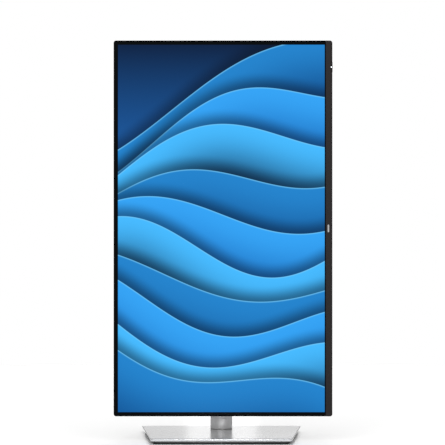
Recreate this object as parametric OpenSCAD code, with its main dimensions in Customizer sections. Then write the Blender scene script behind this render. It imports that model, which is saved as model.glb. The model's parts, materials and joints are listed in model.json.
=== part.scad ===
// Desk monitor on a height, tilt, swivel and pivot stand, stored turned to portrait.
// The origin is on the desk, under the stand's centre line, midway from the base's front to back.
// The front of the screen faces -Y. The screen is drawn in landscape about the pivot axis and
// then turned a quarter turn, so in the screen's modules X runs along its long side.

/* [Screen] */
// Width of the lit area, in landscape
active_w = 527; // [515:1:535]
// Height of the lit area, in landscape
active_h = 296.5; // [292:0.5:300]
// Dark border left and right of the lit area
side_border = 6; // [5:0.5:7]
// Dark border above the lit area
top_border = 6.2; // [5:0.1:7]
// Chin below the lit area
chin_h = 11.1; // [10.5:0.1:12]
// Radius of the case's corners
corner_r = 3.5; // [2:0.5:5]
// Thickness of the screen at its rim
rim_t = 14; // [13.5:0.5:15]
// Depth from the front face to the back of the electronics housing
bulge_t = 36; // [35.5:0.1:36.2]
// Depth from the front face to the back of the mounting hump
hump_t = 45; // [44.5:0.5:45.5]
// Width of the electronics housing
bulge_w = 380; // [360:5:400]
// Height of the electronics housing
bulge_h = 195; // [190:1:200]
// Width of the mounting hump
hump_w = 200; // [180:5:210]
// Height of the mounting hump
hump_h = 176; // [170:2:180]

/* [Stand] */
// Height of the pivot axis above the desk
axis_z = 305.5; // [300:0.5:310]
// Width of the column
column_w = 32.2; // [32:0.1:34]
// Depth of the column
column_d = 32; // [31:0.5:34]
// Radius of the column's bowed front
column_bow_r = 19; // [18:0.5:21]
// Height of the column's top above the desk
column_top = 415; // [413:1:430]
// Height of the seam between the column's foot and its tube
foot_top = 24; // [20:1:30]
// Width of the cable hole
cable_hole_w = 18; // [14:1:20]
// Height of the cable hole
cable_hole_h = 48; // [36:1:60]
// Height of the cable hole's centre above the desk
cable_hole_z = 123; // [100:1:150]

/* [Base] */
// Width of the base at the back
base_back_w = 238; // [220:1:260]
// Width of the base at the front
base_front_w = 202; // [190:1:220]
// Depth of the base
base_d = 180; // [170:1:200]
// Height of the base's top face above the desk
base_top = 8; // [7.5:0.1:9]
// Radius of the base's corners
base_corner_r = 4; // [3:0.5:8]

/* [Fits] */
// Radial clearance of a running fit
run_gap = 0.05; // [0.02:0.01:0.08]
// Gap between parts that pass each other
pass_gap = 0.3; // [0.25:0.05:0.4]

/* [Hidden] */
$fn = 64;
eps = 0.01;

// Depths along Y
front_y = -50;
rim_y = front_y + rim_t;
bulge_y = front_y + bulge_t;
hump_y = front_y + hump_t;
parting_y = front_y + 9;
tilt_y = 14;
column_y = 38;
swivel_y = column_y + column_d / 2;
bow_y = column_y + column_bow_r;

// Outline of the case, in landscape
case_w = active_w + 2 * side_border;
case_h = active_h + top_border + chin_h;
case_z = (top_border - chin_h) / 2;
case_bottom = -active_h / 2 - chin_h;
wall = 2.2;
frame_wall = 1.5;

// The layers behind the picture, front to back
glass_y = front_y + 0.4;
glass_back_y = glass_y + 1.3;
sheets_back_y = glass_back_y + 0.6;
guide_back_y = sheets_back_y + 3;
reflector_back_y = guide_back_y + 0.3;
chassis_back_y = reflector_back_y + 1;
chin_line = -active_h / 2 - 1.7;
glass_bottom = chin_line - 1.2;
glass_gap = 0.2;
glass_top = active_h / 2 + top_border - frame_wall - glass_gap;
glass_half_w = case_w / 2 - frame_wall - glass_gap;
sheet_half_w = active_w / 2 + 0.8;
sheet_half_h = active_h / 2 + 0.8;
led_strip_h = 1.8;

// Mounting pocket in the hump, and the pivot in it
pocket_w = 88;
pocket_y = hump_y - 8;
pivot_plate_w = 84;
pivot_plate_t = 3;
pivot_r = 15;
hub_r = 26;
washer_t = 0.5;
washer_play = 0.05;
pivot_washer_r = 22;
plate_back_y = pocket_y + pivot_plate_t;
hub_y = plate_back_y + washer_t;
bracket_y = hub_y + 3;
ear_y = bracket_y + 3;
boss_front_y = pocket_y - washer_t;
vesa = 100;
vesa_hole_r = 2;
insert_r = 4.5;
hub_screw_at = 21.8;
vesa_plate_y = pocket_y - wall - 2;
vesa_plate_back_y = vesa_plate_y + 2;
plate_screw_at = 34;

// Electronics
shield_left = -152;
shield_right = 134;
shield_top = 12;
shield_bottom = -bulge_h / 2 + wall;
shield_back_y = vesa_plate_y - 0.1;
sheet_t = 0.8;
board_t = 1.6;
main_board_y = shield_back_y - sheet_t - 0.4 - board_t;
power_board_y = chassis_back_y + 3.4;
board_bottom = shield_bottom + 1;
inlet_x = -108;
inlet_y = -27.1;
inlet_w = 28;
inlet_h = 17.7;
inlet_mouth_w = 24.4;
inlet_mouth_h = 16.6;
inlet_front = -bulge_h / 2 + 0.4;
socket_front = -bulge_h / 2 + 1;
socket_d = 14;
// Each socket is its centre along the case, its width and its height
display_port = [26, 16.5, 6];
video_port = [50, 15, 5.5];
usb_up_port = [72, 12, 11];
usb_down_ports = [[92, 13.1, 5.9], [112, 13.1, 5.9]];
security_slot_x = 128;

// Buttons and the menu joystick
power_x = 231.5;
power_y = -44.9;
power_proud = 0.4;
stick_x = 214;
stick_z = -130;
stick_y = -40.6;
stick_hole_r = 7;
stick_shank_r = 1.6;
yoke_r = 6.4;
yoke_bore_r = 5;
yoke_half_t = 0.8;
rocker_r = 4.6;
trunnion_r = 0.35;
release_z = -58;
release_w = 25.4;
release_h = 8.4;

// Tilt hinge
tilt_shaft_r = 4;
barrel_r = 8;
barrel_half_w = 12.8;
ear_in = 13;
ear_out = 18;

// Column
column_wall = 2.5;
cap_h = 4;
tube_top = column_top - cap_h;
slot_w = 16;
slot_bottom = 268;
rail_bottom = 201;
foot_gap = 0.6;
strip_bottom = 191;
spindle_r = 8;
spindle_top = 34;
arm_half_h = 13;

// Carriage and head, measured from the pivot axis
carriage_half_w = 11.2;
carriage_top = 15;
carriage_bottom = -76;
head_plate_y = 47.5;
head_plate_back_y = 53.7;
head_tail = -70;
drum_y = 56.6;
drum_z = -92;
coil_r = 8.5;
drum_pin_r = 2;

// Base
base_edge_z = 3.8;
base_undercut = 1.5;
cover_t = 1.6;
plate_z = 4.2;
tray_z = 1.8;
base_rim_t = 1.2;
cover_wall = 4;
plate_inset = 4.2;
tray_inset = 4.4;
foot_inset = 5;
foot_w = 7;
base_screw_x = 82;
base_screw_y = 68;
base_screw_r = 1.5;
base_screw_head_r = 3.4;
base_screw_head_t = 1;
washer_r = 12;

// Thumb screw under the base, and its folding ring
recess_r = 19;
thumb_r = 9;
thumb_shank_r = 3;
thumb_z = 2.4;
ring_r = 17.5;
ring_w = 3;
ring_t = 1.6;
ring_pin_r = 0.8;
ring_pin_from = 5.8;

// ---- Shared shapes ----

// A rectangle with round corners, centred
module round_rect(w, h, r) {
    square([w - 2 * r, h], center = true);
    square([w, h - 2 * r], center = true);
    for (x = [-1, 1], y = [-1, 1])
        translate([x * (w / 2 - r), y * (h / 2 - r)]) circle(r);
}

// Stands an outline up in the XZ plane, from y0 back to y1
module slab(y0, y1) {
    translate([0, y1, 0]) rotate([90, 0, 0]) linear_extrude(y1 - y0) children();
}

// A box given by its lowest and highest corners
module block(low, high) {
    translate(low) cube(high - low);
}

// A cylinder along X, Y or Z
module rod_x(r, x0, x1, y, z) {
    translate([x0, y, z]) rotate([0, 90, 0]) cylinder(r = r, h = x1 - x0);
}
module rod_y(r, y0, y1, x = 0, z = 0) {
    translate([x, y1, z]) rotate([90, 0, 0]) cylinder(r = r, h = y1 - y0);
}
module rod_z(r, z0, z1, x = 0, y = 0) {
    translate([x, y, z0]) cylinder(r = r, h = z1 - z0);
}

// Turns the screen, drawn in landscape about the pivot axis, to portrait
module portrait() {
    translate([0, 0, axis_z]) rotate([0, -90, 0]) children();
}

// Places children at the four corners of a square in the XZ plane
module four_corners(half) {
    for (x = [-half, half], z = [-half, half])
        translate([x, 0, z]) children();
}

// ---- Outlines ----

module case_outline(inset = 0) {
    translate([0, case_z])
        round_rect(case_w - 2 * inset, case_h - 2 * inset, max(corner_r - inset, 0.6));
}

module bulge_outline(inset = 0) {
    round_rect(bulge_w - 2 * inset, bulge_h - 2 * inset, 14 - inset);
}

module hump_outline(inset = 0) {
    round_rect(hump_w - 2 * inset, hump_h - 2 * inset, 16 - inset);
}

// The base: a trapezium, wider at the back, with round corners
module base_outline(inset = 0) {
    r = base_corner_r;
    hull() {
        for (side = [-1, 1]) {
            translate([side * (base_front_w / 2 - r - inset), -base_d / 2 + r + inset])
                circle(r, $fn = 32);
            translate([side * (base_back_w / 2 - r - inset), base_d / 2 - r - inset])
                circle(r, $fn = 32);
        }
    }
}

// The column: straight sides, a bowed front and a flat back
module column_outline(inset = 0) {
    intersection() {
        translate([0, bow_y]) circle(column_bow_r - inset);
        translate([inset - column_w / 2, column_y + inset])
            square([column_w - 2 * inset, column_d - 2 * inset]);
    }
}

// ---- Base ----

module base_cover() {
    color("silver")
    difference() {
        hull() {
            translate([0, 0, base_top - base_rim_t]) linear_extrude(base_rim_t) base_outline();
            translate([0, 0, base_edge_z]) linear_extrude(0.4) base_outline(base_undercut);
        }
        translate([0, 0, base_edge_z - 1])
            linear_extrude(base_top - cover_t - base_edge_z + 1) base_outline(cover_wall);
        rod_z(spindle_r + pass_gap, 0, base_top + 1, 0, swivel_y);
    }
}

module base_plate() {
    color("dimgray")
    difference() {
        translate([0, 0, plate_z])
            linear_extrude(base_top - cover_t - plate_z) base_outline(plate_inset);
        rod_z(thumb_shank_r + 0.2, 0, base_top, 0, swivel_y);
        base_screw_places() rod_z(base_screw_r + 0.1, 0, base_top);
    }
}

module base_tray() {
    color([0.08, 0.08, 0.09])
    difference() {
        translate([0, 0, tray_z]) linear_extrude(plate_z - tray_z) base_outline(tray_inset);
        rod_z(recess_r, 0, base_top, 0, swivel_y);
        base_screw_places() {
            rod_z(base_screw_r + 0.1, 0, base_top);
            rod_z(base_screw_head_r + 0.2, 0, tray_z + 0.2 + base_screw_head_t);
        }
    }
}

module base_foot_ring() {
    color([0.05, 0.05, 0.05])
    linear_extrude(tray_z)
    difference() {
        base_outline(foot_inset);
        base_outline(foot_inset + foot_w);
    }
}

module base_screw_places() {
    for (x = [-1, 1], y = [-1, 1])
        translate([x * base_screw_x, y * base_screw_y, 0]) children();
}

module base_screws() {
    head_top = tray_z + 0.2 + base_screw_head_t;
    color("gray")
    base_screw_places() {
        rod_z(base_screw_head_r, tray_z + 0.2, head_top);
        rod_z(base_screw_r, head_top, base_top - cover_t - 0.2);
    }
}

// The post that the column turns on, held down by the thumb screw
module swivel_spindle() {
    color("lightgray")
    difference() {
        union() {
            rod_z(spindle_r, base_top - cover_t, spindle_top, 0, swivel_y);
            rod_z(6, spindle_top, spindle_top + 6, 0, swivel_y);
        }
        rod_z(thumb_shank_r + run_gap, 0, 24, 0, swivel_y);
    }
}

module swivel_washer() {
    color("white")
    difference() {
        rod_z(washer_r, base_top, base_top + foot_gap - 0.1, 0, swivel_y);
        rod_z(spindle_r + pass_gap, 0, spindle_top, 0, swivel_y);
    }
}

module thumb_screw() {
    color("silver")
    translate([0, swivel_y, 0])
    difference() {
        union() {
            rod_z(thumb_r, 1, plate_z - 0.2);
            rod_z(thumb_shank_r, plate_z - 0.2, 20);
        }
        // the slot for a coin, and the bearings of the folding ring's pins
        block([-5, -0.8, 0], [5, 0.8, 1.6]);
        for (turn = [0, 180])
            rotate([0, 0, turn])
                rod_x(ring_pin_r + run_gap, ring_pin_from - 0.1, thumb_r + 1, 0, thumb_z);
    }
}

// The folding ring that turns the thumb screw by hand, on two round pins
module thumb_screw_ring() {
    color("silver")
    translate([0, swivel_y, 0]) {
        difference() {
            rod_z(ring_r, thumb_z - ring_t / 2, thumb_z + ring_t / 2);
            rod_z(ring_r - ring_w, 0, thumb_z + ring_t);
            block([-ring_r - 1, -ring_r - 1, 0], [ring_r + 1, 0, thumb_z + ring_t]);
        }
        for (turn = [0, 180])
            rotate([0, 0, turn])
                rod_x(ring_pin_r, ring_pin_from, ring_r - ring_w / 2, 0, thumb_z);
    }
}

// ---- Column, on the swivel ----

module column_foot() {
    color("silver")
    difference() {
        union() {
            translate([0, 0, base_top + foot_gap])
                linear_extrude(foot_top - base_top - foot_gap) column_outline();
            translate([0, 0, foot_top]) linear_extrude(27) column_outline(column_wall + 0.1);
        }
        rod_z(spindle_r + run_gap, 0, spindle_top, 0, swivel_y);
        rod_z(11.5, spindle_top - 1, foot_top + 40, 0, swivel_y);
    }
}

module spindle_nut() {
    color("gray")
    difference() {
        translate([0, swivel_y, spindle_top]) cylinder(r = 10, h = 4, $fn = 6);
        rod_z(6.02, 0, spindle_top + 10, 0, swivel_y);
    }
}

// An upright hole with round ends, through the column
module cable_slot(extra) {
    w = cable_hole_w + 2 * extra;
    h = cable_hole_h + 2 * extra;
    translate([0, 0, cable_hole_z]) slab(column_y - 5, column_y + column_d + 5) {
        square([w, h - w], center = true);
        for (side = [-1, 1])
            translate([0, side * (h - w) / 2]) circle(w / 2);
    }
}

module column_tube() {
    color("silver")
    difference() {
        translate([0, 0, foot_top]) linear_extrude(tube_top - foot_top)
        difference() {
            column_outline();
            column_outline(column_wall);
        }
        cable_slot(1.5);
        block([-slot_w / 2, column_y - 1, slot_bottom], [slot_w / 2, bow_y - 10, tube_top + 1]);
    }
}

module column_cap() {
    color([0.1, 0.1, 0.11]) {
        translate([0, 0, tube_top]) linear_extrude(cap_h) column_outline();
        translate([0, 0, tube_top - 1.2]) linear_extrude(1.2)
            intersection() {
                column_outline(column_wall + 0.1);
                translate([-20, 62]) square([40, 10]);
            }
    }
}

// The plastic liner of the cable hole
module cable_ring() {
    color([0.1, 0.1, 0.11])
    difference() {
        intersection() {
            cable_slot(1.4);
            translate([0, 0, cable_hole_z - 50]) linear_extrude(100) column_outline();
        }
        cable_slot(0);
    }
}

// The lining along the edges of the neck's slot
module slot_trim() {
    color([0.1, 0.1, 0.11])
    intersection() {
        difference() {
            block([-slot_w / 2 + 0.05, column_y, slot_bottom + 0.05],
                  [slot_w / 2 - 0.05, column_y + 5, tube_top]);
            block([-slot_w / 2 + 1.2, column_y - 1, slot_bottom + 1.2],
                  [slot_w / 2 - 1.2, column_y + 6, tube_top + 1]);
        }
        linear_extrude(tube_top) column_outline();
    }
}

module guide_rails() {
    color("gray")
    for (side = [-1, 1])
        block([side * 12.8 - 0.8, 52, rail_bottom], [side * 12.8 + 0.8, 62, tube_top - 4]);
}

// The flat band of the counterbalance spring, where it lies up the back of the column
module spring_strip() {
    color("lightsteelblue")
    block([-6, 65.5, strip_bottom], [6, 65.8, tube_top - 8]);
}

module strip_anchor() {
    color("dimgray") {
        block([-9, 60, tube_top - 14], [9, 65.5, tube_top - 4]);
        rod_y(2.2, 65.8, column_y + column_d - column_wall, 0, tube_top - 10);
    }
}

// ---- Carriage, on the height slide ----

module carriage() {
    w = carriage_half_w;
    color("dimgray")
    translate([0, 0, axis_z])
    difference() {
        union() {
            block([-w, 54, carriage_bottom], [w, 57, carriage_top]);
            for (side = [-1, 1]) {
                block([side * (w + 9.4) / 2 - 0.9, 47.2, head_tail],
                      [side * (w + 9.4) / 2 + 0.9, 54, carriage_top]);
                block([side * (w + 8) / 2 - 1.6, 45.8, head_tail],
                      [side * (w + 8) / 2 + 1.6, 47.2, carriage_top]);
                block([side * (w + 9.4) / 2 - 0.9, 50, drum_z - 12],
                      [side * (w + 9.4) / 2 + 0.9, 62, carriage_bottom + 2]);
            }
        }
        rod_x(drum_pin_r + 0.02, -20, 20, drum_y, drum_z);
    }
}

module slide_shoes() {
    color("white")
    translate([0, 0, axis_z])
    for (side = [-1, 1], z = [carriage_top - 18, carriage_bottom])
        block([side * (carriage_half_w + 0.25) - 0.25, 53, z],
              [side * (carriage_half_w + 0.25) + 0.25, 61, z + 18]);
}

module drum_pin() {
    color("lightgray")
    rod_x(drum_pin_r, -carriage_half_w, carriage_half_w, drum_y, axis_z + drum_z);
}

module spring_drum() {
    color("white")
    translate([0, 0, axis_z])
    difference() {
        rod_x(5, -9, 9, drum_y, drum_z);
        rod_x(drum_pin_r + run_gap, -10, 10, drum_y, drum_z);
    }
}

// The rolled part of the flat spring, on its drum
module spring_coil() {
    color("lightsteelblue")
    translate([0, 0, axis_z])
    difference() {
        rod_x(coil_r, -6, 6, drum_y, drum_z);
        rod_x(5.02, -10, 10, drum_y, drum_z);
    }
}

// ---- Head ----

module neck_bracket() {
    color("dimgray")
    translate([0, 0, axis_z])
    difference() {
        union() {
            block([-9, head_plate_y, head_tail], [9, head_plate_back_y, arm_half_h]);
            block([-6, 33, -arm_half_h], [6, head_plate_y, arm_half_h]);
            block([-12, tilt_y, -barrel_r], [12, 34, barrel_r]);
            rod_x(barrel_r, -barrel_half_w, barrel_half_w, tilt_y, 0);
        }
        rod_x(tilt_shaft_r + run_gap, -20, 20, tilt_y, 0);
    }
}

module neck_shroud() {
    color("silver")
    translate([0, 0, axis_z]) {
        difference() {
            slab(23, 36.8) round_rect(41, 33, 8);
            slab(22, 38) round_rect(37, 29, 6);
        }
        for (side = [-1, 1])
            block([side * 15.3 - 3.3, 27, -2], [side * 15.3 + 3.3, 32, 2]);
    }
}

// ---- Tilt bracket and pivot hub ----

module tilt_bracket() {
    color([0.12, 0.12, 0.13])
    translate([0, 0, axis_z])
    difference() {
        union() {
            rod_y(hub_r, bracket_y, ear_y);
            for (side = [-1, 1])
                translate([side > 0 ? ear_in : -ear_out, 0, 0])
                    rotate([90, 0, 90]) linear_extrude(ear_out - ear_in) {
                        polygon([[ear_y, -14], [ear_y, 14], [tilt_y, barrel_r], [tilt_y, -barrel_r]]);
                        translate([tilt_y, 0]) circle(barrel_r);
                    }
        }
        rod_x(tilt_shaft_r + 0.02, -30, 30, tilt_y, 0);
        for (turn = [0:90:270])
            rotate([0, turn, 0]) rod_y(2.05, bracket_y - 1, ear_y + 1, hub_screw_at);
    }
}

module tilt_shaft() {
    color("lightgray")
    rod_x(tilt_shaft_r, -22, 22, tilt_y, axis_z);
}

module tilt_nuts() {
    color("gray")
    for (side = [-1, 1])
        difference() {
            translate([side * 19.8 - 1.8, tilt_y, axis_z]) rotate([0, 90, 0])
                cylinder(r = 7, h = 3.6, $fn = 6);
            rod_x(tilt_shaft_r + 0.02, -30, 30, tilt_y, axis_z);
        }
}

module pivot_hub() {
    color("lightgray")
    translate([0, 0, axis_z])
    difference() {
        union() {
            rod_y(hub_r, hub_y, bracket_y);
            rod_y(pivot_r, boss_front_y, hub_y);
        }
        for (turn = [0:90:270])
            rotate([0, turn, 0]) rod_y(2.05, hub_y - 1, bracket_y + 1, hub_screw_at);
        rod_y(2.6, boss_front_y - 1, bracket_y - 1);
    }
}

module pivot_washers() {
    color("white")
    translate([0, 0, axis_z])
    for (y = [boss_front_y, plate_back_y + washer_play])
        difference() {
            rod_y(pivot_washer_r, y, y + washer_t - washer_play);
            rod_y(pivot_r + 0.2, y - 1, y + 1);
        }
}

module pivot_retainer() {
    color("gray")
    translate([0, 0, axis_z]) {
        rod_y(pivot_washer_r, boss_front_y - 2.5, boss_front_y);
        rod_y(2.5, boss_front_y, boss_front_y + 5);
    }
}

module hub_screws() {
    color("gray")
    translate([0, 0, axis_z])
    for (turn = [0:90:270])
        rotate([0, turn, 0]) {
            rod_y(2, hub_y + 0.2, ear_y, hub_screw_at);
            rod_y(3.6, ear_y, ear_y + 1.6, hub_screw_at);
        }
}

// ---- Screen ----

module pivot_plate() {
    color("lightgray")
    portrait()
    difference() {
        slab(pocket_y, plate_back_y) round_rect(pivot_plate_w, pivot_plate_w, 6);
        rod_y(pivot_r + run_gap, pocket_y - 1, plate_back_y + 1);
        four_corners(plate_screw_at) rod_y(2.1, pocket_y - 1, plate_back_y + 1);
    }
}

// Four hold the pivot plate, and two close the rear cover
module screen_screws() {
    color("gray")
    portrait() {
        four_corners(plate_screw_at) {
            rod_y(2, vesa_plate_y, plate_back_y);
            rod_y(3.8, plate_back_y, plate_back_y + 1.6);
        }
        for (x = [-170, 170]) {
            rod_y(3.5, bulge_y - 1.2, bulge_y, x, -82);
            rod_y(1.5, chassis_back_y, bulge_y - 1.2, x, -82);
        }
    }
}

module rear_cover() {
    color([0.11, 0.11, 0.12])
    portrait()
    difference() {
        union() {
            difference() {
                union() {
                    slab(parting_y, rim_y) case_outline();
                    slab(rim_y, bulge_y) bulge_outline();
                    slab(bulge_y, hump_y) hump_outline();
                }
                slab(parting_y - 1, rim_y - wall) case_outline(2);
                slab(rim_y - wall - eps, bulge_y - wall) bulge_outline(wall);
                slab(bulge_y - wall - eps, hump_y - wall) hump_outline(wall);
            }
            slab(pocket_y - wall, hump_y) round_rect(pocket_w + 2 * wall, pocket_w + 2 * wall, 7);
        }
        slab(pocket_y, hump_y + 1) round_rect(pocket_w, pocket_w, 6);
        rod_y(hub_r - 1, pocket_y - 9, pocket_y + 1);
        four_corners(plate_screw_at) rod_y(2.05, pocket_y - 8, pocket_y + 1);
        four_corners(vesa / 2) rod_y(insert_r + 0.05, hump_y - 4, hump_y + 1);
        translate([0, 0, release_z])
            slab(hump_y - 4, hump_y + 1) round_rect(release_w + 0.6, release_h + 0.6, 2);
        block([-8.4, plate_back_y - 0.1, -48], [8.4, plate_back_y + 2.6, -43]);
        rod_y(stick_hole_r, rim_y - 4, rim_y + 1, stick_x, stick_z);
        block([shield_left + 8, rim_y, -bulge_h / 2 - 1],
              [shield_right - 1, bulge_y - 4, -bulge_h / 2 + wall + 0.2]);
        for (i = [-20:20])
            block([i * 7.5 - 1.5, rim_y + 4, bulge_h / 2 - 4],
                  [i * 7.5 + 1.5, bulge_y - 4, bulge_h / 2 + 1]);
        for (x = [-170, 170]) {
            rod_y(1.7, bulge_y - 5, bulge_y + 1, x, -82);
            rod_y(3.7, bulge_y - 1.2, bulge_y + 1, x, -82);
        }
    }
}

module front_frame() {
    color([0.04, 0.04, 0.045])
    portrait()
    difference() {
        slab(front_y, parting_y)
        difference() {
            case_outline();
            translate([0, case_z])
                round_rect(case_w - 2 * frame_wall, case_h - 2 * frame_wall, 0.5);
        }
        block([-case_w, front_y - 1, case_bottom - 10], [case_w, parting_y + 1, chin_line]);
    }
}

// The strip along the bottom edge, with a bevelled outer corner
module chin_bezel() {
    color([0.2, 0.19, 0.19])
    portrait()
    difference() {
        intersection() {
            union() {
                rotate([90, 0, 90]) translate([0, 0, -case_w / 2]) linear_extrude(case_w)
                    polygon([
                        [front_y, chin_line], [glass_y, chin_line], [glass_y, glass_bottom - 0.1],
                        [front_y + 1.8, glass_bottom - 0.1], [front_y + 1.8, case_bottom + 2],
                        [parting_y, case_bottom + 2], [parting_y, case_bottom],
                        [front_y + 1.8, case_bottom], [front_y, case_bottom + 2.75]
                    ]);
                for (side = [-1, 1])
                    translate([side * (case_w - frame_wall) / 2, 0, 0])
                        block([-frame_wall / 2, front_y + 1, case_bottom + 1],
                              [frame_wall / 2, parting_y, chin_line]);
            }
            slab(front_y, parting_y) case_outline();
        }
        block([power_x - 7.8, power_y - 2.6, case_bottom - 1],
              [power_x + 7.8, power_y + 2.6, case_bottom + 3]);
        rod_y(0.85, front_y - 1, front_y + 3, power_x, case_bottom + 1.45);
        slab(front_y - 1, front_y + 0.5) badge_outline(0.05);
    }
}

module badge_outline(extra = 0) {
    translate([0, chin_line - 3.65]) round_rect(11 + 2 * extra, 2.2 + 2 * extra, 1 + extra);
}

// A plain pill-shaped inlay with no lettering
module badge() {
    color("silver")
    portrait() slab(front_y - 0.1, front_y + 0.5) badge_outline();
}

module lcd_cell() {
    color([0.02, 0.03, 0.05])
    portrait()
    block([-glass_half_w, glass_y, glass_bottom], [glass_half_w, glass_back_y, glass_top]);
}

// The diffusing sheets in front of the light guide and the reflector behind it
module optical_sheets() {
    color("whitesmoke")
    portrait()
    for (y = [[glass_back_y, sheets_back_y], [guide_back_y, reflector_back_y]])
        block([-sheet_half_w, y[0], -sheet_half_h], [sheet_half_w, y[1], sheet_half_h]);
}

module light_guide() {
    color([0.85, 0.93, 0.95])
    portrait()
    block([-sheet_half_w, sheets_back_y, led_strip_h - sheet_half_h],
          [sheet_half_w, guide_back_y, sheet_half_h]);
}

module led_strip() {
    color("lightyellow")
    portrait() {
        block([-sheet_half_w, sheets_back_y, -sheet_half_h],
              [sheet_half_w, guide_back_y, 0.7 - sheet_half_h]);
        for (i = [-30:30])
            block([i * 8.6 - 2, sheets_back_y + 0.3, 0.7 - sheet_half_h],
                  [i * 8.6 + 2, guide_back_y - 0.3, led_strip_h - 0.1 - sheet_half_h]);
    }
}

module panel_frame() {
    color([0.1, 0.1, 0.1])
    portrait()
    difference() {
        block([-glass_half_w, glass_back_y, glass_bottom],
              [glass_half_w, reflector_back_y, glass_top]);
        block([-sheet_half_w, glass_back_y - 1, -sheet_half_h],
              [sheet_half_w, reflector_back_y + 1, sheet_half_h]);
    }
}

module back_chassis() {
    color("lightgray")
    portrait() {
        block([-glass_half_w, reflector_back_y, glass_bottom],
              [glass_half_w, chassis_back_y, glass_top]);
        // posts that carry the circuit boards
        for (x = [14, 118], z = [board_bottom + 24, 0])
            rod_y(2.5, chassis_back_y, main_board_y, x, z);
        for (x = [-140, -40], z = [board_bottom + 30, 0])
            rod_y(2.5, chassis_back_y, power_board_y, x, z);
    }
}

// The steel plate inside the hump that takes the load of the stand or a wall arm
module vesa_plate() {
    color("gray")
    portrait()
    difference() {
        slab(vesa_plate_y, vesa_plate_back_y) round_rect(122, 122, 6);
        rod_y(hub_r + 1, vesa_plate_y - 1, vesa_plate_back_y + 1);
        four_corners(vesa / 2) rod_y(vesa_hole_r + 0.5, vesa_plate_y - 1, vesa_plate_back_y + 1);
        four_corners(plate_screw_at) rod_y(2.02, vesa_plate_y - 1, vesa_plate_back_y + 1);
    }
}

module vesa_inserts() {
    color("goldenrod")
    portrait()
    four_corners(vesa / 2)
        difference() {
            rod_y(insert_r, vesa_plate_back_y, hump_y);
            rod_y(vesa_hole_r, vesa_plate_back_y - 1, hump_y + 1);
        }
}

// The room that one socket takes, with a little to spare
module socket_hole(port) {
    block([port[0] - port[1] / 2 - 0.15, main_board_y - port[2] - 0.15, socket_front - 1],
          [port[0] + port[1] / 2 + 0.15, main_board_y + 0.15, socket_front + socket_d]);
}

module shield_box() {
    color("lightgray")
    portrait()
    difference() {
        block([shield_left, chassis_back_y, shield_bottom], [shield_right, shield_back_y, shield_top]);
        block([shield_left + sheet_t, chassis_back_y - 1, shield_bottom + sheet_t],
              [shield_right - sheet_t, shield_back_y - sheet_t, shield_top - sheet_t]);
        for (port = concat([display_port, video_port, usb_up_port], usb_down_ports))
            socket_hole(port);
        block([inlet_x - inlet_w / 2 - 0.1, inlet_y - inlet_h / 2 - 0.1, inlet_front - 1],
              [inlet_x + inlet_w / 2 + 0.1, inlet_y + inlet_h / 2 + 0.1, inlet_front + 10]);
        block([security_slot_x - 1.5, -31, shield_bottom - 1],
              [security_slot_x + 1.5, -24, shield_bottom + 2]);
    }
}

module main_board() {
    y = main_board_y;
    color("darkgreen")
    portrait() {
        block([8, y, board_bottom], [122, y + board_t, 6]);
        // the larger chips, one of them under a finned cooler
        block([76, y - 1.6, -40], [92, y, -24]);
        block([20, y - 2, -34], [52, y, -6]);
        for (i = [0:7])
            block([20 + i * 4.3, y - 9, -34], [21.9 + i * 4.3, y - 2, -6]);
    }
}

module power_board() {
    y = power_board_y + board_t;
    color("peru")
    portrait() {
        block([-148, power_board_y, board_bottom + 24], [-34, y, 6]);
        block([-84, y, -48], [-54, y + 14, -22]);
        for (x = [-134, -116, -100])
            rod_y(6.2, y, y + 16, x, -12);
        rod_y(5, y, y + 12, -44, -60);
    }
}

module power_inlet() {
    color([0.06, 0.06, 0.06])
    portrait()
    translate([inlet_x, inlet_y, inlet_front])
    difference() {
        block([-inlet_w / 2, -inlet_h / 2, 0], [inlet_w / 2, inlet_h / 2, 24]);
        block([-inlet_mouth_w / 2, -inlet_mouth_h / 2, -1],
              [inlet_mouth_w / 2, inlet_mouth_h / 2, 18]);
        for (pin = [[-7, -1], [0, 3], [7, -1]])
            block([pin[0] - 1, pin[1] - 2, 17], [pin[0] + 1, pin[1] + 2, 25]);
    }
}

module inlet_pins() {
    color("gold")
    portrait()
    translate([inlet_x, inlet_y, inlet_front])
    for (pin = [[-7, -1], [0, 3], [7, -1]])
        block([pin[0] - 1, pin[1] - 2, 3], [pin[0] + 1, pin[1] + 2, 23]);
}

// One metal socket with its tongue, its mouth facing down in landscape
module socket(port, tongue) {
    w = port[1];
    h = port[2];
    translate([port[0], main_board_y - h, socket_front]) {
        difference() {
            block([-w / 2, 0, 0], [w / 2, h, socket_d]);
            block([0.5 - w / 2, 0.5, -1], [w / 2 - 0.5, h - 0.5, socket_d - 2]);
        }
        block([-tongue[0] / 2, h / 2 - tongue[1] / 2, 2],
              [tongue[0] / 2, h / 2 + tongue[1] / 2, socket_d - 1]);
    }
}

module signal_sockets() {
    color("silver")
    portrait() {
        socket(display_port, [12, 1.4]);
        socket(video_port, [10.5, 1.2]);
        socket(usb_up_port, [5.6, 3.2]);
        for (port = usb_down_ports) socket(port, [11, 1.8]);
    }
}

// The small board behind the power button and the menu joystick
module key_board() {
    color("darkgreen")
    portrait() {
        block([196, chassis_back_y + 0.2, case_bottom + 5], [248, chassis_back_y + 1.2, -118]);
        block([power_x - 3.5, chassis_back_y - 3, case_bottom + 4.8],
              [power_x + 3.5, chassis_back_y + 0.2, glass_bottom - 0.4]);
        // the two posts that the joystick's yoke turns in
        difference() {
            for (side = [-1, 1])
                translate([stick_x + side * (yoke_r + 1.3), 0, stick_z])
                    block([-0.8, chassis_back_y + 1.2, -1.2], [0.8, stick_y + 1, 1.2]);
            rod_x(trunnion_r + run_gap, stick_x - 10, stick_x + 10, stick_y, stick_z);
        }
    }
}

module led_window() {
    color("white")
    portrait() rod_y(0.8, front_y + 0.5, front_y + 2.2, power_x, case_bottom + 1.45);
}

// ---- Buttons ----

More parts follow.
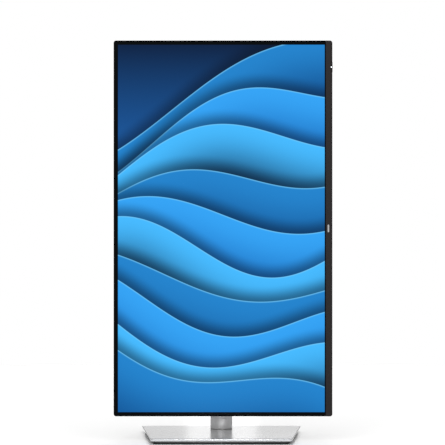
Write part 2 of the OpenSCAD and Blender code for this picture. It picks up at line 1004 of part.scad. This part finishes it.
module power_button() {
    color([0.25, 0.25, 0.26])
    portrait() {
        block([power_x - 7.5, power_y - 2.3, case_bottom - power_proud],
              [power_x + 7.5, power_y + 2.3, case_bottom + 3.6]);
        block([power_x - 9, power_y - 2.3, case_bottom + 2.2],
              [power_x + 9, power_y + 2.3, case_bottom + 3.6]);
    }
}

module release_button() {
    color([0.2, 0.2, 0.21])
    portrait()
    translate([0, 0, release_z]) {
        slab(hump_y - 7, hump_y + 1.5) round_rect(release_w, release_h, 1.8);
        slab(hump_y - 7, hump_y - 5) round_rect(30, 13, 2);
    }
}

module release_latch() {
    color("gray")
    portrait()
    block([-8, plate_back_y + 0.2, -51.2], [8, plate_back_y + 2.4, -40]);
}

// The joystick's outer ring turns on two pins along X, in posts on the key board
module joystick_yoke() {
    color("white")
    portrait()
    translate([stick_x, stick_y, stick_z])
    difference() {
        union() {
            rod_y(yoke_r, -yoke_half_t, yoke_half_t);
            rod_x(trunnion_r, -yoke_r - 2, yoke_r + 2, 0, 0);
        }
        rod_y(yoke_bore_r, -2, 2);
        rod_z(trunnion_r + run_gap, -10, 10);
    }
}

// Its inner ring turns on two pins along Z, in the outer ring
module joystick_rocker() {
    color("gray")
    portrait()
    translate([stick_x, stick_y, stick_z])
    difference() {
        union() {
            rod_y(rocker_r, -0.6, 0.6);
            rod_z(trunnion_r, -yoke_r + 0.1, yoke_r - 0.1);
        }
        rod_y(stick_shank_r + run_gap, -2, 2);
    }
}

module joystick_cap() {
    color([0.2, 0.2, 0.21])
    portrait() {
        rod_y(4.5, rim_y - 0.6, rim_y + 5.5, stick_x, stick_z);
        rod_y(stick_shank_r, stick_y - 0.7, rim_y - 0.6, stick_x, stick_z);
    }
}

base_cover();
base_plate();
base_tray();
base_foot_ring();
base_screws();
swivel_spindle();
swivel_washer();
thumb_screw();
thumb_screw_ring();
column_foot();
column_tube();
column_cap();
cable_ring();
slot_trim();
guide_rails();
spring_strip();
strip_anchor();
spindle_nut();
carriage();
slide_shoes();
drum_pin();
spring_drum();
spring_coil();
neck_bracket();
neck_shroud();
tilt_bracket();
tilt_shaft();
tilt_nuts();
pivot_hub();
pivot_washers();
pivot_retainer();
hub_screws();
pivot_plate();
screen_screws();
rear_cover();
front_frame();
chin_bezel();
badge();
lcd_cell();
optical_sheets();
light_guide();
led_strip();
panel_frame();
back_chassis();
vesa_plate();
vesa_inserts();
shield_box();
main_board();
power_board();
power_inlet();
inlet_pins();
signal_sockets();
key_board();
led_window();
power_button();
release_button();
release_latch();
joystick_yoke();
joystick_rocker();
joystick_cap();
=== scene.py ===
"""The desk monitor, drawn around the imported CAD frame. Everything is in metres."""

import json
import math

import bmesh
import bpy
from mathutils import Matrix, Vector


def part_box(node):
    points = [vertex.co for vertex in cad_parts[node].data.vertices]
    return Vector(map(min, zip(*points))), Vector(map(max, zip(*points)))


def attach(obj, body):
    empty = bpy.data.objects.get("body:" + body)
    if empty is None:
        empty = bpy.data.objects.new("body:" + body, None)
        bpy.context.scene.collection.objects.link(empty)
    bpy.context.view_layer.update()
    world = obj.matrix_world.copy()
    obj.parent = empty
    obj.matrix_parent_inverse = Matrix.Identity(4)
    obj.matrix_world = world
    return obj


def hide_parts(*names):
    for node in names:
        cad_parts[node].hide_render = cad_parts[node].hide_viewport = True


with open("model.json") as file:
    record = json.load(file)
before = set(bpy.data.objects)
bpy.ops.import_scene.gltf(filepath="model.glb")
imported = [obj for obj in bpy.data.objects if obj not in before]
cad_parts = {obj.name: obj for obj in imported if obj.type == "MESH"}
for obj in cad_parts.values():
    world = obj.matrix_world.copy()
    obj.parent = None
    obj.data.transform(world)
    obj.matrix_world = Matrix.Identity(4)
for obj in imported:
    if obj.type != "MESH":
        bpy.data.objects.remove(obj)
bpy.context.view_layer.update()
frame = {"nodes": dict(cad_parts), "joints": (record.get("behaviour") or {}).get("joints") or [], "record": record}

MM = 0.001
nodes = frame["nodes"]
scene = bpy.context.scene


# ---------------------------------------------------------------- places from the frame

axis_z = next(j for j in frame["joints"] if j["name"] == "pivot")["pos_m"][2]
glass_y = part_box("lcd_cell")[0].y
front_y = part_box("front_frame")[0].y

# The lit area is centred on the pivot axis. The panel's sheets overhang it by 0.8 mm all round.
sheet_low, sheet_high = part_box("optical_sheets")
OVERHANG = 0.8 * MM
lit_half_w = (sheet_high.x - sheet_low.x) / 2 - OVERHANG
lit_half_h = (sheet_high.z - sheet_low.z) / 2 - OVERHANG


# ---------------------------------------------------------------- camera, light and floor

FLOOR_RADIUS = 1.5
FLOOR_DROP = 0.2 * MM
CAMERA_DISTANCE = 2.817
CAMERA_SIDE = 0.0017
CAMERA_ABOVE_AXIS = 0.0085
LENS = 158.9


def make_camera():
    data = bpy.data.cameras.new("camera")
    data.lens = LENS
    data.sensor_width = 36
    data.clip_end = 50
    camera = bpy.data.objects.new("camera", data)
    camera.location = (CAMERA_SIDE, front_y - CAMERA_DISTANCE, axis_z + CAMERA_ABOVE_AXIS)
    camera.rotation_euler = (math.radians(90), 0, 0)
    scene.collection.objects.link(camera)
    scene.camera = camera


def area_light(name, place, target, size, power, spread=180):
    data = bpy.data.lights.new(name, "AREA")
    data.shape = "RECTANGLE"
    data.size, data.size_y = size
    data.energy = power
    data.spread = math.radians(spread)
    light = bpy.data.objects.new(name, data)
    light.location = place
    light.visible_camera = False
    aim = Vector(target) - Vector(place)
    light.rotation_euler = aim.to_track_quat("-Z", "Y").to_euler()
    scene.collection.objects.link(light)


def make_world():
    """A white room. What the object mirrors is bright before and behind it, and darker at its sides."""
    world = bpy.data.worlds.new("studio")
    scene.world = world
    world.use_nodes = True
    tree = world.node_tree
    tree.nodes.clear()
    coord = tree.nodes.new("ShaderNodeTexCoord")
    split = tree.nodes.new("ShaderNodeSeparateXYZ")
    tree.links.new(coord.outputs["Generated"], split.inputs[0])
    side = tree.nodes.new("ShaderNodeMath")
    side.operation = "ABSOLUTE"
    tree.links.new(split.outputs["X"], side.inputs[0])
    fall = tree.nodes.new("ShaderNodeMapRange")
    fall.interpolation_type = "SMOOTHSTEP"
    fall.inputs["From Min"].default_value = 0.50
    fall.inputs["From Max"].default_value = 0.72
    fall.inputs["To Max"].default_value = 0.50
    tree.links.new(side.outputs[0], fall.inputs["Value"])
    front = tree.nodes.new("ShaderNodeMapRange")
    front.inputs["From Min"].default_value = -0.6
    front.inputs["From Max"].default_value = 0.6
    front.inputs["To Min"].default_value = 1.6
    front.inputs["To Max"].default_value = 0.74
    tree.links.new(split.outputs["Y"], front.inputs["Value"])
    tree.links.new(front.outputs[0], fall.inputs["To Min"])
    room = tree.nodes.new("ShaderNodeBackground")
    room.inputs["Color"].default_value = (1, 1, 1, 1)
    tree.links.new(fall.outputs[0], room.inputs["Strength"])
    white = tree.nodes.new("ShaderNodeBackground")
    white.inputs["Color"].default_value = (1, 1, 1, 1)
    white.inputs["Strength"].default_value = 1.0
    path = tree.nodes.new("ShaderNodeLightPath")
    mix = tree.nodes.new("ShaderNodeMixShader")
    tree.links.new(path.outputs["Is Camera Ray"], mix.inputs[0])
    tree.links.new(room.outputs[0], mix.inputs[1])
    tree.links.new(white.outputs[0], mix.inputs[2])
    out = tree.nodes.new("ShaderNodeOutputWorld")
    tree.links.new(mix.outputs[0], out.inputs[0])


def make_floor():
    mesh = bpy.data.meshes.new("floor")
    work = bmesh.new()
    bmesh.ops.create_circle(work, cap_ends=True, segments=96, radius=FLOOR_RADIUS)
    work.to_mesh(mesh)
    work.free()
    floor = bpy.data.objects.new("floor", mesh)
    floor.location = (0, 0, -FLOOR_DROP)
    scene.collection.objects.link(floor)
    material = bpy.data.materials.new("floor_white")
    material.use_nodes = True
    shader = material.node_tree.nodes["Principled BSDF"]
    shader.inputs["Base Color"].default_value = (0.93, 0.93, 0.93, 1)
    shader.inputs["Roughness"].default_value = 0.18
    mesh.materials.append(material)


make_camera()
make_world()
make_floor()
area_light("key", (-1.2, -2.2, 2.2), (0, 0, 0.2), (1.8, 1.8), 17)
area_light("fill", (1.6, -1.8, 1.4), (0, 0, 0.2), (1.6, 1.6), 6)
area_light("top", (0, 0.5, 2.6), (0, 0, 0), (2.6, 2.6), 24)
area_light("back", (0.6, 2.4, 1.6), (0, 0, 0.3), (1.8, 1.4), 14)
# a low strip behind the stand, which brightens the middle of the base's satin top
area_light("strip", (0, 1.6, 0.2), (0, 0, 0.01), (0.16, 0.3), 0.06)
# a narrow beam under the screen's lower edge, which lights the column's foot
area_light("gap", (0, -0.6, 0.030), (0, 0, 0.022), (0.16, 0.012), 0.013, spread=20)
scene.view_settings.view_transform = "Standard"


# ---------------------------------------------------------------- materials

SMOOTH_UNDER = math.radians(35)
WELD_DISTANCE = 0.001 * MM


def node_tools(tree):
    """Short helpers that add nodes to one tree."""

    def new(kind, **values):
        node = tree.nodes.new(kind)
        for key, value in values.items():
            setattr(node, key, value)
        return node

    def put(socket, value):
        if isinstance(value, bpy.types.NodeSocket):
            tree.links.new(value, socket)
        else:
            socket.default_value = value

    def calc(operation, a, b=0.0, clamp=False):
        node = new("ShaderNodeMath", operation=operation, use_clamp=clamp)
        put(node.inputs[0], a)
        put(node.inputs[1], b)
        return node.outputs[0]

    def remap(value, low, high, to_low=0.0, to_high=1.0, smooth=False):
        node = new("ShaderNodeMapRange")
        if smooth:
            node.interpolation_type = "SMOOTHSTEP"
        put(node.inputs["Value"], value)
        put(node.inputs["From Min"], low)
        put(node.inputs["From Max"], high)
        put(node.inputs["To Min"], to_low)
        put(node.inputs["To Max"], to_high)
        return node.outputs[0]

    def blend(amount, a, b):
        node = new("ShaderNodeMix", data_type="RGBA")
        put(node.inputs["Factor"], amount)
        put(node.inputs[6], a)
        put(node.inputs[7], b)
        return node.outputs[2]

    return new, put, calc, remap, blend


def finish_material(name, color, rough, metal=0.0, grain=700.0, grain_depth=0.02,
                    stretch=(1, 1, 1), smudge=0.05, tone=0.05, coat=0.0, specular=0.5,
                    grain_rough=0.05, emission=0.0):
    """A surface with a fine grain in its bump and roughness, and soft smudges of tone over it."""
    material = bpy.data.materials.new(name)
    material.use_nodes = True
    tree = material.node_tree
    shader = tree.nodes["Principled BSDF"]
    new, put, calc, remap, blend = node_tools(tree)
    coord = new("ShaderNodeTexCoord")
    mapping = new("ShaderNodeMapping")
    put(mapping.inputs["Vector"], coord.outputs["Object"])
    mapping.inputs["Scale"].default_value = stretch
    fine = new("ShaderNodeTexNoise")
    put(fine.inputs["Vector"], mapping.outputs[0])
    fine.inputs["Scale"].default_value = grain
    fine.inputs["Detail"].default_value = 3
    broad = new("ShaderNodeTexNoise")
    put(broad.inputs["Vector"], coord.outputs["Object"])
    broad.inputs["Scale"].default_value = 14
    broad.inputs["Detail"].default_value = 4
    bright = tuple(min(1, c * (1 + tone)) for c in color) + (1,)
    dark = tuple(c * (1 - tone) for c in color) + (1,)
    put(shader.inputs["Base Color"], blend(remap(broad.outputs["Fac"], 0.3, 0.7), dark, bright))
    level = remap(broad.outputs["Fac"], 0.3, 0.7, rough - smudge, rough + smudge)
    spread = remap(fine.outputs["Fac"], 0.3, 0.7, -grain_rough, grain_rough)
    put(shader.inputs["Roughness"], calc("ADD", level, spread, clamp=True))
    shader.inputs["Metallic"].default_value = metal
    shader.inputs["Specular IOR Level"].default_value = specular
    shader.inputs["Coat Weight"].default_value = coat
    if emission:
        shader.inputs["Emission Color"].default_value = color + (1,)
        shader.inputs["Emission Strength"].default_value = emission
    bump = new("ShaderNodeBump")
    bump.inputs["Distance"].default_value = grain_depth * MM
    bump.inputs["Strength"].default_value = 1.0
    put(bump.inputs["Height"], fine.outputs["Fac"])
    put(shader.inputs["Normal"], bump.outputs[0])
    return material


def grey(level):
    return (level, level, level * 1.01)


BRUSH_X = (1, 40, 40)
BRUSH_Z = (40, 40, 1)

MATERIALS = {
    "satin_silver": dict(color=grey(0.66), rough=0.19, metal=0.85, grain=60, stretch=BRUSH_X,
                         grain_depth=0.001, grain_rough=0.02, tone=0.02, smudge=0.02),
    "polished_edge": dict(color=grey(0.14), rough=0.22, metal=0.9, grain=300,
                          grain_depth=0.001),
    "column_aluminium": dict(color=grey(0.58), rough=0.54, metal=0.6, grain=60, stretch=BRUSH_Z,
                             grain_depth=0.0003, grain_rough=0.02, tone=0.02),
    "shroud_silver": dict(color=grey(0.62), rough=0.38, metal=0.6, grain=1500),
    "ballast_steel": dict(color=grey(0.40), rough=0.42, metal=1.0, grain=50, stretch=BRUSH_X),
    "fastener_steel": dict(color=grey(0.52), rough=0.30, metal=1.0, grain=900),
    "turned_steel": dict(color=grey(0.62), rough=0.24, metal=1.0, grain=400),
    "rail_steel": dict(color=grey(0.48), rough=0.32, metal=1.0, grain=60, stretch=BRUSH_Z),
    "spring_steel": dict(color=(0.46, 0.50, 0.56), rough=0.25, metal=1.0, grain=60,
                         stretch=BRUSH_Z),
    "sheet_steel": dict(color=grey(0.58), rough=0.38, metal=1.0, grain=160, tone=0.14,
                        grain_rough=0.1),
    "cast_alloy": dict(color=grey(0.34), rough=0.55, metal=0.9, grain=900, grain_depth=0.08),
    "black_metal": dict(color=grey(0.035), rough=0.48, metal=0.2, grain=1400, grain_depth=0.05),
    "brass": dict(color=(0.70, 0.52, 0.22), rough=0.28, metal=1.0, grain=800),
    "socket_metal": dict(color=grey(0.66), rough=0.22, metal=1.0, grain=700),
    "badge_silver": dict(color=grey(0.30), rough=0.35, metal=0.9, grain=900),
    "black_plastic": dict(color=grey(0.018), rough=0.50, grain=1600, grain_depth=0.03),
    "frame_black": dict(color=grey(0.0006), rough=0.55, grain=1800, grain_depth=0.008,
                        specular=0.004),
    "chin_grey": dict(color=(0.015, 0.0128, 0.0128), rough=0.46, grain=120, stretch=BRUSH_Z,
                      grain_depth=0.012, specular=0.10),
    "cover_black": dict(color=grey(0.011), rough=0.58, grain=1300, grain_depth=0.06,
                        smudge=0.08, specular=0.25),
    "button_grey": dict(color=grey(0.045), rough=0.40, grain=1400),
    "rubber_foot": dict(color=grey(0.012), rough=0.85, grain=900, grain_depth=0.1, specular=0.2),
    "nylon_white": dict(color=(0.80, 0.80, 0.77), rough=0.45, grain=1200),
    "lcd_glass": dict(color=(0.0012, 0.0018, 0.0022), rough=0.40, grain=2200,
                      grain_depth=0.004, specular=0.02),
    "optical_film": dict(color=(0.86, 0.88, 0.90), rough=0.25, grain=1200, coat=0.2),
    "light_guide_acrylic": dict(color=(0.80, 0.90, 0.92), rough=0.12, grain=300, coat=0.3),
    "led_board": dict(color=(0.82, 0.79, 0.52), rough=0.35, grain=900),
    "circuit_board": dict(color=(0.02, 0.12, 0.05), rough=0.30, grain=500, coat=0.3, tone=0.2),
    "power_circuit_board": dict(color=(0.42, 0.27, 0.11), rough=0.40, grain=500, coat=0.2,
                                tone=0.15),
    "led_white": dict(color=(0.85, 0.90, 0.95), rough=0.30, grain=900, emission=1.2),
}

finishes = {name: finish_material(name, **look) for name, look in MATERIALS.items()}


def dress_cad_nodes():
    """Gives each CAD node its slot's finish."""
    slots = {part["node"]: part["material_slot"] for part in frame["record"]["subparts"]}
    for name, obj in nodes.items():
        obj.data.materials.clear()
        obj.data.materials.append(finishes[slots[name]])


EDGE_ROUNDING_MM = {
    "column_tube": 0.12, "column_foot": 0.15, "column_cap": 0.8, "cable_ring": 0.4,
    "rear_cover": 0.5, "front_frame": 0.3, "chin_bezel": 0.3, "neck_shroud": 0.8,
    "neck_bracket": 0.6, "tilt_bracket": 0.5, "release_button": 0.5, "power_button": 0.4,
    "pivot_plate": 0.3, "thumb_screw": 0.2, "tilt_nuts": 0.3,
}
BASE_CHAMFER_MM = 0.7

# On these the rounding is small beside every face, though not beside the facets of their curves
UNCLAMPED = ("column_cap", "neck_shroud")


def round_edges(obj, width, clamped=True):
    """Rounds every sharp edge of an object with modifiers, which leave its own mesh alone."""
    weld = obj.modifiers.new("weld", "WELD")
    weld.merge_threshold = WELD_DISTANCE
    flats = obj.modifiers.new("flats", "DECIMATE")
    flats.decimate_type = "DISSOLVE"
    flats.angle_limit = math.radians(0.5)
    bevel = obj.modifiers.new("edge", "BEVEL")
    bevel.width = width * MM
    bevel.segments = 2
    bevel.limit_method = "ANGLE"
    bevel.angle_limit = math.radians(40)
    bevel.harden_normals = True
    bevel.use_clamp_overlap = clamped
    bevel.material = len(obj.data.materials) - 1


def make_base_shell():
    """The base's top shell, a new piece whose sharp edges have a polished chamfer."""
    node = nodes["base_cover"]
    shell = bpy.data.objects.new("base_shell_chamfered", node.data.copy())
    scene.collection.objects.link(shell)
    shell.matrix_world = node.matrix_world.copy()
    mesh = shell.data
    mesh.materials.clear()
    for finish in ("satin_silver", "polished_edge"):
        mesh.materials.append(finishes[finish])
    round_edges(shell, BASE_CHAMFER_MM, clamped=False)
    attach(shell, "base")
    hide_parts("base_cover")


# ---------------------------------------------------------------- the picture

def srgb(red, green, blue):
    """A screen colour of 0 to 255 as linear light."""
    def linear(value):
        value /= 255
        return value / 12.92 if value <= 0.04045 else ((value + 0.055) / 1.055) ** 2.4
    return (linear(red), linear(green), linear(blue), 1)


class Painter:
    """Builds up one colour, layer over layer, in units of half the picture's width."""

    def __init__(self, tree, unit):
        self.new, self.put, self.calc, self.remap, self.blend = node_tools(tree)
        coord = self.new("ShaderNodeTexCoord")
        split = self.new("ShaderNodeSeparateXYZ")
        self.put(split.inputs[0], coord.outputs["Object"])
        self.x = self.calc("DIVIDE", split.outputs["X"], unit)
        height = self.calc("SUBTRACT", split.outputs["Z"], axis_z)
        self.y = self.calc("DIVIDE", height, unit)
        self.color = self.blend(self.remap(self.y, 0.9, 1.8), BACKDROP_LOW, BACKDROP_HIGH)

    def times(self, a, b):
        return self.calc("MULTIPLY", a, b)

    def wave(self, level, lean, swing, pace, phase, lit, deep):
        """Everything under one wavy edge: lit along the edge, deeper below, over a soft shadow."""
        angle = self.calc("ADD", self.times(self.x, pace), phase)
        edge = self.calc("ADD", self.times(self.calc("SINE", angle), swing),
                         self.calc("ADD", self.times(self.x, lean), level))
        slope = self.calc("ADD", self.times(self.calc("COSINE", angle), swing * pace), lean)
        steep = self.calc("SQRT", self.calc("ADD", self.times(slope, slope), 1.0))
        above = self.calc("DIVIDE", self.calc("SUBTRACT", self.y, edge), steep)
        shade = self.remap(above, 0.0, SHADOW_REACH, SHADOW_DEPTH, 0.0, smooth=True)
        self.color = self.blend(shade, self.color, SHADOW)
        near = self.remap(above, -WAVE_FADE, 0.0, smooth=True)
        body = self.blend(near, deep, lit)
        line = self.remap(above, -RIM_WIDTH, 0.0, 0.0, RIM_STRENGTH, smooth=True)
        body = self.blend(line, body, RIM)
        cover = self.remap(above, -EDGE_SOFTNESS, EDGE_SOFTNESS, 1.0, 0.0)
        self.color = self.blend(cover, self.color, body)


BACKDROP_HIGH, BACKDROP_LOW = srgb(8, 30, 62), srgb(24, 84, 150)
SHADOW, RIM = srgb(3, 16, 36), srgb(116, 204, 250)
SHADOW_REACH, SHADOW_DEPTH = 0.16, 0.62
WAVE_FADE = 0.62
RIM_WIDTH, RIM_STRENGTH = 0.016, 0.8
EDGE_SOFTNESS = 0.002
WAVES = 10


def paint_picture(tree, unit):
    """Plain layered waves in blues. Each edge is a straight line and a sine, from a rule."""
    art = Painter(tree, unit)
    lit_colors = (srgb(34, 132, 206), srgb(52, 164, 246), srgb(70, 186, 255))
    deep_colors = (srgb(8, 44, 84), srgb(14, 84, 150), srgb(20, 104, 186))
    for k in range(WAVES):
        share = k / (WAVES - 1)
        art.wave(level=1.35 - 2.75 * share, lean=0.42 - 0.75 * share, swing=0.20 + 0.05 * (k % 3),
                 pace=1.9 + 0.25 * (k % 2), phase=0.9 + 0.55 * k,
                 lit=lit_colors[k % 3], deep=deep_colors[(k + 1) % 3])
    return art.color


SHEET_GAP = 0.06 * MM
SHEET_THICKNESS = 0.05 * MM
SHEET_COLUMNS, SHEET_ROWS = 8, 14


def make_picture():
    """The lit picture, a thin sheet just in front of the glass, inside the frame."""
    mesh = bpy.data.meshes.new("picture")
    work = bmesh.new()
    y = glass_y - SHEET_GAP
    grid = [
        [
            work.verts.new((
                -lit_half_w + 2 * lit_half_w * i / SHEET_COLUMNS, y,
                axis_z - lit_half_h + 2 * lit_half_h * j / SHEET_ROWS))
            for i in range(SHEET_COLUMNS + 1)
        ]
        for j in range(SHEET_ROWS + 1)
    ]
    for j in range(SHEET_ROWS):
        for i in range(SHEET_COLUMNS):
            work.faces.new((grid[j][i], grid[j][i + 1], grid[j + 1][i + 1], grid[j + 1][i]))
    back = bmesh.ops.extrude_face_region(work, geom=list(work.faces), use_keep_orig=True)
    back = [part for part in back["geom"] if isinstance(part, bmesh.types.BMVert)]
    bmesh.ops.translate(work, verts=back, vec=(0, SHEET_THICKNESS, 0))
    bmesh.ops.recalc_face_normals(work, faces=work.faces)
    work.to_mesh(mesh)
    work.free()
    picture = bpy.data.objects.new("picture", mesh)
    scene.collection.objects.link(picture)
    material = bpy.data.materials.new("picture_light")
    material.use_nodes = True
    tree = material.node_tree
    shader = tree.nodes["Principled BSDF"]
    shader.inputs["Base Color"].default_value = (0.001, 0.001, 0.001, 1)
    shader.inputs["Roughness"].default_value = 0.45
    shader.inputs["Specular IOR Level"].default_value = 0.02
    tree.links.new(paint_picture(tree, lit_half_w), shader.inputs["Emission Color"])
    shader.inputs["Emission Strength"].default_value = 1.0
    mesh.materials.append(material)
    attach(picture, "screen")


# ---------------------------------------------------------------- detail pieces

def islands(obj):
    """The separate solids in one node, each as a list of its corners."""
    work = bmesh.new()
    work.from_mesh(obj.data)
    bmesh.ops.remove_doubles(work, verts=work.verts, dist=WELD_DISTANCE)
    work.verts.ensure_lookup_table()
    left = set(range(len(work.verts)))
    groups = []
    while left:
        stack = [left.pop()]
        group = []
        while stack:
            vert = work.verts[stack.pop()]
            group.append(vert.co.copy())
            for edge in vert.link_edges:
                other = edge.other_vert(vert).index
                if other in left:
                    left.remove(other)
                    stack.append(other)
        groups.append(group)
    work.free()
    return groups


def box_of(points):
    low = Vector(min(p[i] for p in points) for i in range(3))
    high = Vector(max(p[i] for p in points) for i in range(3))
    return low, high


def lathe(work, profile, place, direction, segments=32):
    """Turns a profile of (radius, distance along) about a direction."""
    spin = Vector((0, 0, 1)).rotation_difference(direction).to_matrix()
    rings = []
    for radius, along in profile:
        ring = []
        for i in range(segments):
            turn = 2 * math.pi * i / segments
            local = Vector((radius * math.cos(turn), radius * math.sin(turn), along))
            ring.append(work.verts.new(Vector(place) + spin @ local))
        rings.append(ring)
    for a, b in zip(rings, rings[1:]):
        for i in range(segments):
            j = (i + 1) % segments
            work.faces.new((a[i], a[j], b[j], b[i]))
    work.faces.new(list(reversed(rings[0])))
    work.faces.new(rings[-1])


RECESS_TAPER = 0.5


def cross_prism(work, place, direction, arm, half_width, depth):
    """A plus-shaped cutter, centred on a screw's head and sunk along it."""
    spin = Vector((0, 0, 1)).rotation_difference(direction).to_matrix()
    outline = []
    for turn in range(4):
        c, s = math.cos(turn * math.pi / 2), math.sin(turn * math.pi / 2)
        for x, y in ((half_width, half_width), (half_width, arm), (-half_width, arm)):
            outline.append((c * x - s * y, s * x + c * y))
    low = [
        work.verts.new(Vector(place)
                       + spin @ Vector((x * RECESS_TAPER, y * RECESS_TAPER, -depth)))
        for x, y in outline
    ]
    high = [work.verts.new(Vector(place) + spin @ Vector((x, y, depth))) for x, y in outline]
    count = len(outline)
    for i in range(count):
        j = (i + 1) % count
        work.faces.new((low[i], low[j], high[j], high[i]))
    work.faces.new(list(reversed(low)))
    work.faces.new(high)


def new_piece(name, work, body, slot):
    """A smooth piece made from a bmesh, on a body, with its slot's finish."""
    mesh = bpy.data.meshes.new(name)
    bmesh.ops.recalc_face_normals(work, faces=work.faces)
    work.to_mesh(mesh)
    work.free()
    piece = bpy.data.objects.new(name, mesh)
    scene.collection.objects.link(piece)
    mesh.materials.append(finishes[slot])
    mesh.shade_smooth()
    mesh.set_sharp_from_angle(angle=SMOOTH_UNDER)
    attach(piece, body)
    return piece


SCREW_EDGE = 0.1 * MM
TIP_DEPTH = 0.01 * MM


def make_screws(node, body, direction, name):
    """Replaces a node's plain screws with ones that have domed heads and cross recesses."""
    axis = max(range(3), key=lambda i: abs(direction[i]))
    sign = 1 if direction[axis] > 0 else -1
    work = bmesh.new()
    cutters = bmesh.new()
    for points in islands(nodes[node]):
        low, high = box_of(points)
        ends = [low[axis], high[axis]]
        tip, top = (ends[0], ends[1]) if sign > 0 else (ends[1], ends[0])
        middle = (low + high) / 2
        reach = lambda p: max(abs(p[i] - middle[i]) for i in range(3) if i != axis)
        head_r = max(reach(p) for p in points)
        shank_r = max(reach(p) for p in points if abs(p[axis] - tip) < TIP_DEPTH)
        under = max(abs(p[axis] - top) for p in points if reach(p) > head_r * 0.98)
        length = abs(top - tip)
        place = middle.copy()
        place[axis] = tip
        crown = 0.25 * under
        lathe(work, [
            (shank_r, 0), (shank_r, length - under), (head_r * 0.96, length - under),
            (head_r, length - under + SCREW_EDGE), (head_r, length - crown - SCREW_EDGE),
            (head_r * 0.93, length - 0.35 * crown), (head_r * 0.75, length),
        ], place, Vector(direction))
        seat = place.copy()
        seat[axis] = top
        cross_prism(cutters, seat, Vector(direction), head_r * 0.56, head_r * 0.11, under * 0.6)
    piece = new_piece(name, work, body, "fastener_steel")
    bmesh.ops.recalc_face_normals(cutters, faces=cutters.faces)
    cutter_mesh = bpy.data.meshes.new(name + "_recess")
    cutters.to_mesh(cutter_mesh)
    cutters.free()
    cutter = bpy.data.objects.new(name + "_recess", cutter_mesh)
    scene.collection.objects.link(cutter)
    cut = piece.modifiers.new("recess", "BOOLEAN")
    cut.operation = "DIFFERENCE"
    cut.object = cutter
    cut.solver = "EXACT"
    bpy.context.view_layer.update()
    solid = bpy.data.meshes.new_from_object(
        piece.evaluated_get(bpy.context.evaluated_depsgraph_get()))
    piece.modifiers.clear()
    piece.data = solid
    bpy.data.objects.remove(cutter)
    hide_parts(node)


STICK_SHANK_R = 1.6 * MM
STICK_CAP_H = 6.1 * MM
STICK_OVERLAP = 0.2 * MM
STICK_RIBS = 24
STICK_GROOVE = 0.035
STEPS_PER_RIB = 4


def make_joystick_cap():
    """The menu joystick's cap, with a ribbed skirt and a dished top."""
    low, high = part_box("joystick_cap")
    centre = (low + high) / 2
    radius = (high.x - low.x) / 2
    length = high.y - low.y
    segments = STICK_RIBS * STEPS_PER_RIB
    profile = [(1.0, length - STICK_CAP_H), (1.0, length - 1.0 * MM), (0.94, length - 0.35 * MM),
               (0.84, length), (0.70, length - 0.10 * MM), (0.42, length - 0.55 * MM),
               (0.10, length - 0.75 * MM)]
    work = bmesh.new()
    rings = []
    for k, (share, along) in enumerate(profile):
        ring = []
        for i in range(segments):
            turn = 2 * math.pi * i / segments
            groove = STICK_GROOVE * (0.5 + 0.5 * math.cos(turn * STICK_RIBS)) if k < 2 else 0
            r = radius * (share - groove)
            ring.append(work.verts.new((centre.x + r * math.cos(turn), low.y + along,
                                        centre.z + r * math.sin(turn))))
        rings.append(ring)
    for a, b in zip(rings, rings[1:]):
        for i in range(segments):
            j = (i + 1) % segments
            work.faces.new((a[i], b[i], b[j], a[j]))
    work.faces.new(rings[0])
    work.faces.new(list(reversed(rings[-1])))
    lathe(work, [(STICK_SHANK_R, 0), (STICK_SHANK_R, length - STICK_CAP_H + STICK_OVERLAP)],
          (centre.x, low.y, centre.z), Vector((0, 1, 0)))
    piece = new_piece("joystick_cap_ribbed", work, "joystick_cap", "button_grey")
    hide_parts("joystick_cap")


dress_cad_nodes()
for name, width in EDGE_ROUNDING_MM.items():
    round_edges(nodes[name], width, clamped=name not in UNCLAMPED)
make_base_shell()
make_picture()
make_screws("screen_screws", "screen", (0, 1, 0), "screen_screws_cross")
make_screws("hub_screws", "tilt_bracket", (0, 1, 0), "hub_screws_cross")
make_screws("base_screws", "base", (0, 0, -1), "base_screws_cross")
make_joystick_cap()
